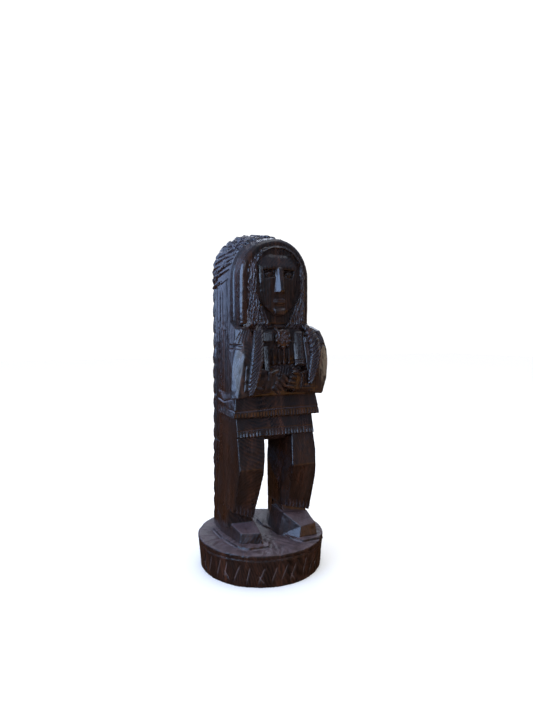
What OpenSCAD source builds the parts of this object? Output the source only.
// Carved standing figure in a long feather bonnet, cut from one block of dark hardwood.
// Z is up, the figure faces -Y and its own left side is +X.
// The origin is the centre of the plinth's resting face.

/* [Plinth] */
// Diameter of the plinth at its top edge
plinth_d = 112; // [104:1:130]
// Diameter of the plinth where it rests
plinth_foot_d = 107; // [96:1:130]
// Height of the plinth
plinth_h = 27.3; // [20:0.1:40]
// Drop from the plinth's top edge to the line cut round it
plinth_line_drop = 4.5; // [3:0.5:8]
// Width and depth of the cut lines
line_w = 1.2; // [0.6:0.1:2]
// Distance between the slanting strokes, round the plinth's side
stroke_pitch = 15.6; // [10:0.1:24]
// Length of one stroke
stroke_h = 14; // [8:0.5:15]
// Lean of the strokes from upright, in degrees
stroke_slant = 24; // [0:1:40]

/* [Figure] */
// Distance of the figure's centre line from the plinth's centre, towards the figure's left
figure_shift = 3.5; // [0:0.5:8]
// Depth of the body behind the plinth's centre, where the feather trail begins
body_back = 17; // [12:0.5:20]
// Half of the body's width at the chest
body_half_w = 37.5; // [34:0.5:42]

/* [Feet] */
// Height of the toe box
toe_h = 9.5; // [7:0.5:13]
// Height of the instep, where it meets the trouser hem
instep_h = 16; // [13:0.5:19]
// Width of the toe box
toe_w = 16; // [13:0.5:18]
// Inner side of the right toe from the centre line
right_toe_inner = 16.3; // [13:0.1:20]
// Inner side of the left toe from the centre line
left_toe_inner = 20; // [13:0.5:21]
// Front of the right toe's inner corner
right_toe_front = 31; // [28:0.5:34]
// Front of the left toe's inner corner
left_toe_front = 33.5; // [28:0.5:35]
// Length of the bevel along the top of the toe box
toe_bevel = 3; // [1:0.5:5]
// Distance of the ankle's front behind the trouser hem
ankle_setback = 8; // [5:0.5:12]
// Slant of the right toe's front edge
right_toe_slant = 7; // [0:0.5:9]
// Slant of the left toe's front edge
left_toe_slant = 2.3; // [0:0.1:9]

/* [Legs] */
// Height of the trouser hems above the plinth
hem_h = 22; // [20:0.5:26]
// Height of the knees above the hems
knee_h = 42; // [34:1:50]
// Height of the kilt's hem above the knees
thigh_h = 26.2; // [20:0.1:34]
// Front of the trousers at the hem
hem_front = 21; // [19:0.5:24]
// Front of the trousers at the knee
knee_front = 32; // [28:0.5:36]
// Front of the thighs, where they go under the kilt
thigh_front = 24; // [20:0.5:27]
// Outer side of the legs from the centre line
leg_outer = 36; // [33:0.5:37]
// Inner side of the knees from the centre line
knee_inner = 12.7; // [10:0.1:16]
// Inner side of the right hem from the centre line
right_hem_inner = 18; // [13:0.5:20]
// Inner side of the left hem from the centre line
left_hem_inner = 8; // [7:0.5:20]
// Inner side of the thighs from the centre line, under the kilt
thigh_inner = 10.5; // [8:0.5:14]
// Depth of wood between the thighs, below the kilt's hem
crotch_h = 5.5; // [3:0.5:9]

/* [Clothes] */
// Height of the kilt that shows below the tunic
kilt_h = 17; // [12:0.5:22]
// Half of the kilt's width
kilt_half_w = 34.5; // [32:0.5:37]
// Front of the kilt
kilt_front = 27; // [25:0.5:30]
// Height of the tunic's skirt, from its hem to the elbows
tunic_h = 18; // [14:0.5:22]
// Half of the tunic's width at its hem
tunic_half_w = 39.5; // [38:0.5:42]
// Front of the tunic at its hem
tunic_front = 29; // [28:0.5:32]
// Height of the fringe on both hems
fringe_h = 6; // [4:0.5:8]

/* [Chest] */
// Height of the chest from the elbows to the shoulders
chest_h = 57.5; // [50:0.5:66]
// Front of the chest between the arms
chest_front = 31; // [30:0.5:33]
// Half of the chest's width between the arms
chest_half_w = 23.5; // [20:0.5:26]
// Drop of the shoulder line from the neck to the arms
shoulder_drop = 14; // [8:0.5:18]
// Width of each shoulder's slope beside the arms
shoulder_w = 10; // [6:0.5:12]
// Drop of the shoulder line across the collar
collar_drop = 3; // [1:0.5:5]

/* [Arms] */
// Half of the width across the elbows
elbow_half_w = 44.5; // [42:0.5:48]
// Height above the elbows up to which the arms keep that width
arm_full_h = 34.5; // [28:0.5:38]
// Distance from the chest's side to the start of the forearm
forearm_start = 8; // [5:0.5:12]
// Distance that the forearm starts in front of the elbow
forearm_lead = 4; // [1:0.5:5]
// Depth behind which the arms join the chest
arm_back = 16; // [12:0.5:20]
// Front of the elbows
elbow_front = 34; // [33:0.5:37]
// Front of the folded hands
hand_front = 43; // [41:0.5:46]
// Height of the folded forearms
forearm_h = 24; // [20:0.5:28]
// Distance from the centre line to the wrists
wrist_x = 14; // [11:0.5:17]
// Height that the hands rise above the elbows
hand_lift = 3.5; // [1:0.5:6]
// Amount that the hands narrow towards the centre line, above and below
hand_taper = 3.5; // [1:0.5:6]

/* [Braids] */
// Thickness of the braids
braid_d = 9; // [6:0.5:11]
// Top of the right braid from the centre line
right_braid_top = 18.5; // [16:0.5:24]
// Middle of the right braid from the centre line
right_braid_middle = 23; // [20:0.5:30]
// End of the right braid from the centre line
right_braid_end = 28; // [22:0.5:32]
// Top of the left braid from the centre line
left_braid_top = 25; // [20:0.5:27]
// Middle of the left braid from the centre line
left_braid_middle = 31; // [24:0.5:33]
// End of the left braid from the centre line
left_braid_end = 25; // [22:0.5:32]

/* [Ornaments] */
// Thickness of the plates on the chest
plate_t = 2.4; // [1.6:0.2:4]
// Drop of the plates from the shoulder line
plate_drop = 6; // [3:0.5:9]
// Side of the square plates
plate_w = 7.5; // [5:0.5:8]
// Distance from the centre line to the middle of the right plate
right_plate_x = 11.3; // [9:0.1:13]
// Distance from the centre line to the middle of the left plate and its strap
left_plate_x = 19; // [15:0.5:19]
// Width of the bar under the right plate
bar_w = 5; // [3:0.5:8]
// Width of the strap under the left plate
strap_w = 9; // [6:0.5:9]
// Diameter of the medallion
medallion_d = 15.5; // [10:0.5:17]
// Drop of the medallion from the shoulder line
medallion_drop = 2; // [1:0.5:4]
// Thickness of the medallion
medallion_t = 3.4; // [2:0.2:5]
// Number of tassels below the medallion
tassel_count = 4; // [2:1:4]
// Diameter of a tassel
tassel_d = 2.4; // [1.6:0.2:3]
// Length of a tassel
tassel_h = 13; // [9:0.5:14]

/* [Head] */
// Height of the chin above the shoulders
chin_lift = 8.5; // [6:0.5:12]
// Height of the face from the chin to the brow band
face_h = 57; // [48:1:62]
// Half of the face's width
face_half_w = 21.5; // [18:0.5:23]
// Front of the face at the cheeks
face_front = 34; // [32:0.5:36]
// Depth of the nose in front of the cheeks
nose_t = 4.5; // [3:0.5:6]
// Radius of the face across the cheeks
face_round_r = 30; // [24:1:44]
// Share of its width that the face loses at the chin
chin_taper = 0.4; // [0:0.05:0.5]
// Depth that the forehead leans back
forehead_lean = 9; // [4:0.5:12]
// Height of the forehead's slope
forehead_h = 15; // [10:0.5:20]
// Depth that the chin leans back
chin_lean = 6; // [3:0.5:9]
// Height of the chin's slope
chin_h = 9; // [6:0.5:12]
// Back of the head inside the hair, behind the plinth's centre
head_back = 4; // [0:0.5:12]
// Front of the hair round the face
hair_front = 29; // [26:0.5:31]
// Half of the width of the hair
hair_half_w = 30; // [27:0.5:32]
// Height of the hair above the brow
hair_rise = 5; // [3:0.5:8]
// Half of the neck's width
neck_half_w = 20; // [15:0.5:24]
// Front of the neck
neck_front = 26; // [22:0.5:28]
// Height of the neck past the chin, where the jaw sits in it
neck_rise = 8; // [4:0.5:12]

/* [Bonnet] */
// Thickness of the smooth band round the hair
band_t = 6; // [4:0.5:7]
// Front of the smooth band
band_front = 27; // [23:0.5:28]
// Half of the width of the feather fan
fan_half_w = 38.5; // [37:0.5:42]
// Height of the fan's top above the smooth band
fan_rise = 10; // [6:0.5:14]
// Height of the fan's lower end above the shoulders
fan_foot = 35; // [28:1:42]
// Front of the fan at its foot
fan_front = 12; // [8:0.5:18]
// Number of feathers round the fan
fan_feathers = 19; // [11:2:25]

/* [Trail] */
// Half of the trail's width
trail_half_w = 36.5; // [33:0.5:38]
// Back of the trail's sides, where they begin to turn in
trail_side = 29; // [24:0.5:32]
// Amount that the trail turns in between there and its corners
trail_turn = 3.5; // [1:0.5:5]
// Back of the trail at its corners
trail_corner = 43; // [38:0.5:44]
// Width of the bevel between the trail's corners and its back
trail_bevel = 8; // [4:0.5:10]
// Hollow of the trail's back at the ends of that bevel
trail_hollow = 3; // [1:0.5:4]
// Back of the trail at its middle
trail_back = 51; // [48:0.5:54]
// Length of one feather along the trail's edge
feather_h = 14; // [9:0.5:20]
// Depth of the notch between two feathers
notch_t = 2.2; // [1:0.1:3]
// Width of the opening between the two trails, behind the legs
opening_w = 29; // [24:1:36]
// Widening of that opening towards the back
opening_flare = 22; // [10:1:26]
// Height above the plinth at which the trail divides
opening_h = 79; // [70:1:84]

/* [Hidden] */
$fn = 96;
heart = "#2b1a14";
streak = "#4a2a1d";
pale = "#6a4632";

// Room that a cutter takes past what it cuts
past = 1;

// Heights, from the plinth up
hem_z = plinth_h + hem_h;
knee_z = hem_z + knee_h;
kilt_z = knee_z + thigh_h;
tunic_z = kilt_z + kilt_h;
elbow_z = tunic_z + tunic_h;
shoulder_z = elbow_z + chest_h;
chin_z = shoulder_z + chin_lift;
brow_z = chin_z + face_h;
divide_z = plinth_h + opening_h;
fan_z = shoulder_z + fan_foot;
hair_top = brow_z + hair_rise;
band_half_w = hair_half_w + band_t;
band_top = hair_top + band_t;
fan_top = band_top + fan_rise;
wrist_top = elbow_z + forearm_h;

// An outline in the X and Z directions, cut from the front through to the back
module front_cut(outline, front, back)
    translate([0, back, 0]) rotate([90, 0, 0]) linear_extrude(front + back) polygon(outline);

// An outline in the Y and Z directions, cut from the right side through to the left
module side_cut(outline, half)
    translate([-half, 0, 0]) rotate([90, 0, 90]) linear_extrude(2 * half) polygon(outline);

// An outline in the X and Y directions, cut from below
module plan_cut(outline, low, high)
    translate([0, 0, low]) linear_extrude(high - low) polygon(outline);

// Everything above the plinth stands on the figure's centre line
module on_centre_line() translate([figure_shift, 0, 0]) children();

// The same shape on the figure's right, -1, or its left, 1
module on_side(side) mirror([side < 0 ? 1 : 0, 0, 0]) children();

module block(half_w, front, back, low, high)
    translate([-half_w, -front, low]) cube([2 * half_w, front + back, high - low]);

// Round-topped slab, seen from the front
module arch(half_w, low, top, front, back)
    translate([0, back, 0]) rotate([90, 0, 0]) linear_extrude(front + back) intersection() {
        translate([-half_w, low]) square([2 * half_w, top - low]);
        union() {
            translate([0, top - half_w]) circle(half_w);
            translate([-half_w, low - past]) square([2 * half_w, top - half_w - low + past]);
        }
    }

module plinth() color(streak) difference() {
    cylinder(h = plinth_h, d1 = plinth_foot_d, d2 = plinth_d);
    plinth_line();
    plinth_strokes();
}

// The line cut round the plinth, square in section
module plinth_line() {
    slope = (plinth_d - plinth_foot_d) / 2 / plinth_h;
    line_z = plinth_h - plinth_line_drop;
    line_r = plinth_d / 2 - slope * plinth_line_drop;
    translate([0, 0, line_z]) rotate_extrude()
        translate([line_r - line_w, -line_w / 2]) square([line_w + past, line_w]);
}

// Slanting strokes below that line
module plinth_strokes() {
    count = floor(PI * plinth_d / stroke_pitch);
    for (i = [0 : count - 1])
        rotate([0, 0, i * 360 / count])
            translate([0, -(plinth_d + plinth_foot_d) / 4, plinth_h / 2 - past])
                rotate([0, stroke_slant, 0]) cube([line_w / 2, line_w, stroke_h], center = true);
}

// One shoe: a square toe box, a sloping instep and the ankle up to the trouser hem
module moccasin(side, toe_inner, toe_front, slant) {
    on_side(side) intersection() {
        plan_cut([[toe_inner, -toe_front], [toe_inner + toe_w, -toe_front + slant],
                  [leg_outer + past, body_back], [knee_inner + past, body_back]],
                 plinth_h, hem_z);
        side_cut([[-toe_front, plinth_h], [-toe_front, plinth_h + toe_h - toe_bevel],
                  [toe_bevel - toe_front, plinth_h + toe_h],
                  [ankle_setback - hem_front, plinth_h + instep_h],
                  [ankle_setback - hem_front, hem_z], [body_back, hem_z],
                  [body_back, plinth_h]],
                 plinth_d);
    }
}

module right_moccasin() color(pale) on_centre_line()
    moccasin(-1, right_toe_inner, right_toe_front, right_toe_slant);

module left_moccasin() color(pale) on_centre_line()
    moccasin(1, left_toe_inner, left_toe_front, left_toe_slant);

// One trouser leg: the shin slopes back to the hem and the thigh slopes back under the kilt
module trouser_leg(side, hem_inner) {
    on_side(side) intersection() {
        front_cut([[hem_inner, hem_z], [leg_outer, hem_z], [leg_outer, kilt_z],
                   [thigh_inner, kilt_z], [knee_inner, knee_z]],
                  plinth_d, plinth_d);
        side_cut([[-hem_front, hem_z], [-knee_front, knee_z], [-thigh_front, kilt_z],
                  [body_back, kilt_z], [body_back, hem_z]],
                 plinth_d);
    }
}

module right_trouser_leg() color(streak) on_centre_line() trouser_leg(-1, right_hem_inner);

module left_trouser_leg() color(streak) on_centre_line() trouser_leg(1, left_hem_inner);

// Line and notches of a cut fringe along the front of a hem
module fringe_cuts(half_w, front, hem) {
    pitch = 3.4;
    count = floor(2 * half_w / pitch) - 1;
    translate([-half_w - past, -front - past, hem + fringe_h])
        cube([2 * half_w + 2 * past, line_w / 2 + past, line_w / 2]);
    for (i = [0 : count - 1])
        translate([(i - (count - 1) / 2) * pitch, -front, hem])
            rotate([0, 0, 45]) cube([line_w / 2, line_w / 2, 2 * fringe_h - line_w], center = true);
}

// The kilt and the wood between the thighs below it
module kilt() color(heart) on_centre_line() difference() {
    union() {
        block(kilt_half_w, kilt_front, body_back, kilt_z, tunic_z);
        block(leg_outer, 0, body_back, kilt_z, tunic_z);
        front_cut([[-thigh_inner, kilt_z], [thigh_inner, kilt_z],
                   [thigh_inner, kilt_z - crotch_h], [-thigh_inner, kilt_z - crotch_h]],
                  thigh_front, body_back);
    }
    fringe_cuts(kilt_half_w, kilt_front, kilt_z);
    trouser_leg(-1, right_hem_inner);
    trouser_leg(1, left_hem_inner);
}

module tunic_skirt() color(streak) on_centre_line() difference() {
    intersection() {
        front_cut([[-tunic_half_w, tunic_z], [tunic_half_w, tunic_z],
                   [body_half_w, elbow_z], [-body_half_w, elbow_z]],
                  tunic_front, body_back);
        side_cut([[-tunic_front, tunic_z], [-tunic_front, tunic_z + fringe_h],
                  [-kilt_front, elbow_z], [body_back, elbow_z], [body_back, tunic_z]],
                 tunic_half_w);
    }
    fringe_cuts(tunic_half_w, tunic_front, tunic_z);
}

// The tunic's body: full width behind the arms, narrower between them
module chest() color(streak) on_centre_line() intersection() {
    plan_cut([[-body_half_w, body_back], [-body_half_w, -arm_back], [-chest_half_w, -arm_back],
              [-chest_half_w, -chest_front], [chest_half_w, -chest_front],
              [chest_half_w, -arm_back], [body_half_w, -arm_back], [body_half_w, body_back]],
             elbow_z, shoulder_z);
    shoulder_line(body_back);
}

// The slope of both shoulders, seen from the front
module shoulder_line(back)
    front_cut([[-elbow_half_w, elbow_z], [elbow_half_w, elbow_z],
               [elbow_half_w, elbow_z + arm_full_h], [body_half_w, shoulder_z - shoulder_drop],
               [body_half_w - shoulder_w, shoulder_z - collar_drop],
               [hair_half_w - shoulder_w, shoulder_z],
               [shoulder_w - hair_half_w, shoulder_z],
               [shoulder_w - body_half_w, shoulder_z - collar_drop],
               [-body_half_w, shoulder_z - shoulder_drop],
               [-elbow_half_w, elbow_z + arm_full_h]],
              plinth_d, back);

// One upper arm, from the shoulder down to the elbow
module upper_arm(side) on_side(side) intersection() {
    plan_cut([[chest_half_w, -arm_back], [elbow_half_w, -arm_back], [elbow_half_w, -elbow_front],
              [chest_half_w + forearm_start, -elbow_front - forearm_lead],
              [chest_half_w, -chest_front]],
             elbow_z, shoulder_z);
    side_cut([[-arm_back, elbow_z], [-elbow_front - forearm_lead, elbow_z],
              [-elbow_front - forearm_lead, wrist_top],
              [-chest_front, shoulder_z - 2 * shoulder_drop],
              [-arm_back - forearm_lead, shoulder_z - collar_drop], [-arm_back, shoulder_z]],
             plinth_d);
    shoulder_line(body_back);
}

module right_upper_arm() color(streak) on_centre_line() upper_arm(-1);

module left_upper_arm() color(streak) on_centre_line() upper_arm(1);

// One forearm, from the elbow in to the wrist, sloping forward and a little up
module forearm(side) on_side(side) intersection() {
    start_x = chest_half_w + forearm_start;
    plan_cut([[chest_half_w, -chest_front], [start_x, -elbow_front - forearm_lead],
              [wrist_x, -hand_front], [wrist_x, -chest_front]],
             elbow_z, shoulder_z);
    front_cut([[start_x, elbow_z], [wrist_x, elbow_z + hand_lift],
               [wrist_x, wrist_top - hand_lift], [start_x, wrist_top]],
              plinth_d, 0);
}

module right_forearm() color(pale) on_centre_line() forearm(-1);

module left_forearm() color(pale) on_centre_line() forearm(1);

// One folded hand, from the wrist to the centre line
module hand(side) on_side(side) intersection() {
    plan_cut([[0, -hand_front], [wrist_x, -hand_front], [wrist_x, -chest_front],
              [0, -chest_front]],
             elbow_z, shoulder_z);
    front_cut([[0, elbow_z + hand_lift + hand_taper], [wrist_x, elbow_z + hand_lift],
               [wrist_x, wrist_top - hand_lift], [0, wrist_top - hand_lift - hand_taper]],
              plinth_d, 0);
}

module right_hand() color(streak) on_centre_line() hand(-1);

module left_hand() color(pale) on_centre_line() hand(1);

// A rope of the braid's thickness through a few points
module rope(points)
    for (i = [0 : len(points) - 2])
        hull() {
            translate(points[i]) sphere(d = braid_d, $fn = 20);
            translate(points[i + 1]) sphere(d = braid_d, $fn = 20);
        }

// One braid: from the hair, over the shoulder and down in front of the arm
module braid(side, top_x, middle_x, end_x) difference() {
    fore = elbow_front + forearm_lead;
    on_side(side) rope([[top_x, -chest_front, shoulder_z - braid_d / 2],
                        [middle_x, -chest_front, shoulder_z - 2 * shoulder_drop],
                        [middle_x, -fore, wrist_top - line_w],
                        [end_x, -fore, elbow_z + braid_d]]);
    on_side(side) {
        upper_arm(1);
        forearm(1);
    }
    block(chest_half_w, chest_front, 0, elbow_z, shoulder_z + chest_h);
    breastplate_form();
}

module right_braid() color(heart) on_centre_line()
    braid(-1, right_braid_top, right_braid_middle, right_braid_end);

module left_braid() color(heart) on_centre_line()
    braid(1, left_braid_top, left_braid_middle, left_braid_end);

// One square plate on the chest, beside the medallion
module plate(middle, top) difference() {
    translate([middle - plate_w / 2, -chest_front - plate_t, top - plate_w])
        cube([plate_w, plate_t, plate_w]);
    medallion_form();
}

// A square plate on each side, the bar under the right one and the rounded strap under the left
module breastplate_form() {
    plate_top = shoulder_z - plate_drop;
    hang_z = plate_top - plate_w;
    plate(-right_plate_x, plate_top);
    plate(left_plate_x, plate_top);
    difference() {
        translate([-right_plate_x - plate_w / 2, -chest_front - plate_t, elbow_z])
            cube([bar_w, plate_t, hang_z - elbow_z]);
        forearm(-1);
        hand(-1);
        block(chest_half_w, hand_front, 0, 0, elbow_z + forearm_h / 2);
    }
    intersection() {
        translate([left_plate_x, -chest_front, wrist_top + past])
            cylinder(h = hang_z - wrist_top - past, d = strap_w);
        block(chest_half_w + strap_w, chest_front + strap_w, -chest_front, elbow_z, shoulder_z);
    }
}

module breastplate() color(pale) on_centre_line() breastplate_form();

module medallion_form()
    translate([0, -chest_front, shoulder_z - medallion_d / 2 - medallion_drop]) rotate([90, 0, 0])
        cylinder(h = medallion_t, d = medallion_d);

module medallion() color(heart) on_centre_line() medallion_form();

// Rods side by side below the medallion, half sunk in the chest
module tassels() color(pale) on_centre_line() intersection() {
    top = shoulder_z - medallion_d - medallion_drop;
    pitch = 2 * tassel_d;
    for (i = [0 : tassel_count - 1])
        translate([(i - (tassel_count - 1) / 2) * pitch, -chest_front, top - tassel_h])
            cylinder(h = tassel_h, d = tassel_d);
    block(chest_half_w, chest_front + tassel_d, -chest_front, elbow_z, shoulder_z);
}

module neck_form() block(neck_half_w, neck_front, body_back, shoulder_z, chin_z + neck_rise);

module neck() color(streak) on_centre_line() difference() {
    neck_form();
    head_form();
}

// The face's outline: an oval that narrows below its middle
function face_outline() = [for (a = [0 : 12 : 348])
    [face_half_w * cos(a) * (1 - (a > 180 ? chin_taper * pow(sin(a), 2) : 0)),
     chin_z + face_h / 2 * (1 + sin(a))]];

// The head, rounded across the cheeks, with its forehead and chin leaning back
module head_form() intersection() {
    front_cut(face_outline(), face_front, head_back);
    side_cut([[chin_lean - face_front, chin_z], [-face_front, chin_z + chin_h],
              [-face_front, brow_z - forehead_h], [forehead_lean - face_front, brow_z],
              [head_back, brow_z], [head_back, chin_z]],
             face_half_w);
    translate([0, face_round_r - face_front, chin_z]) cylinder(h = face_h, r = face_round_r);
}

// A plain wedge of a nose, set by the usual thirds of the face
module nose() {
    third = face_h / 3;
    bridge = face_half_w / 7;
    wing = face_half_w / 2.5;
    hull() {
        translate([-bridge / 2, -face_front, chin_z + 2 * third - past]) cube([bridge, bridge, past]);
        translate([-wing / 2, -face_front, chin_z + third]) cube([wing, bridge, past]);
        translate([-bridge / 2, -face_front - nose_t, chin_z + third]) cube([bridge, nose_t, past]);
    }
}

module head() color(pale) on_centre_line() {
    head_form();
    nose();
}

module hair_form() arch(hair_half_w, shoulder_z, hair_top, hair_front, body_back);

module hair() color(heart) on_centre_line() difference() {
    hair_form();
    head_form();
    neck_form();
}

module band_form() arch(band_half_w, shoulder_z, band_top, band_front, body_back);

module bonnet_band() color(streak) on_centre_line() difference() {
    band_form();
    hair_form();
}

// The fan: a thick arch behind and above the band, notched between the feathers
module bonnet_feathers() color(heart) on_centre_line() difference() {
    intersection() {
        arch(fan_half_w, fan_z, fan_top, band_front, trail_back);
        side_cut([[-fan_front, fan_z], [0, fan_top], [trail_corner, fan_top],
                  [trail_back, fan_top - 2 * fan_rise], [trail_back, fan_z]],
                 fan_half_w);
    }
    band_form();
    for (i = [1 : fan_feathers - 1])
        translate([0, 0, fan_top - fan_half_w])
            rotate([0, -90 + i * 180 / fan_feathers, 0])
                translate([0, trail_corner / 2, fan_half_w])
                    rotate([0, 45, 0]) cube([notch_t, trail_corner * 2, notch_t], center = true);
}

// Notches along the trail's two back corners
module feather_notches(low, high) {
    count = floor((high - low) / feather_h);
    for (side = [-1, 1], i = [1 : count - 1])
        translate([side * (trail_half_w - trail_turn), trail_corner, low + i * feather_h])
            rotate([45, 0, 0])
                cube([2 * notch_t, notch_t * 3, notch_t * 3], center = true);
}

// One half of the trail seen from above, from its side in to its middle
function half_outline(side) =
    [[side * trail_half_w, body_back], [side * trail_half_w, trail_side],
     [side * (trail_half_w - trail_turn), trail_corner],
     [side * (trail_half_w - trail_turn - trail_bevel), trail_back - trail_hollow]];

// The trail seen from above
function trail_outline() = let (left = half_outline(1))
    concat(half_outline(-1), [[0, trail_back]], [for (i = [3 : -1 : 0]) left[i]]);

module trailer_back() color(streak) on_centre_line() difference() {
    plan_cut(trail_outline(), divide_z, fan_z);
    feather_notches(divide_z, fan_z);
}

// One side of the divided trail, down to the plinth
module half_trail(side) on_side(side) difference() {
    plan_cut(trail_outline(), plinth_h, divide_z);
    plan_cut([[-plinth_d, body_back - past], [opening_w / 2, body_back - past],
              [(opening_w + opening_flare) / 2, trail_back + past],
              [-plinth_d, trail_back + past]],
             plinth_h - past, divide_z + past);
    feather_notches(plinth_h, divide_z);
}

module right_trailer() color(streak) on_centre_line() half_trail(-1);

module left_trailer() color(streak) on_centre_line() half_trail(1);

plinth();
right_moccasin();
left_moccasin();
right_trouser_leg();
left_trouser_leg();
kilt();
tunic_skirt();
chest();
right_upper_arm();
left_upper_arm();
right_forearm();
left_forearm();
right_hand();
left_hand();
right_braid();
left_braid();
breastplate();
medallion();
tassels();
neck();
head();
hair();
bonnet_band();
bonnet_feathers();
trailer_back();
right_trailer();
left_trailer();
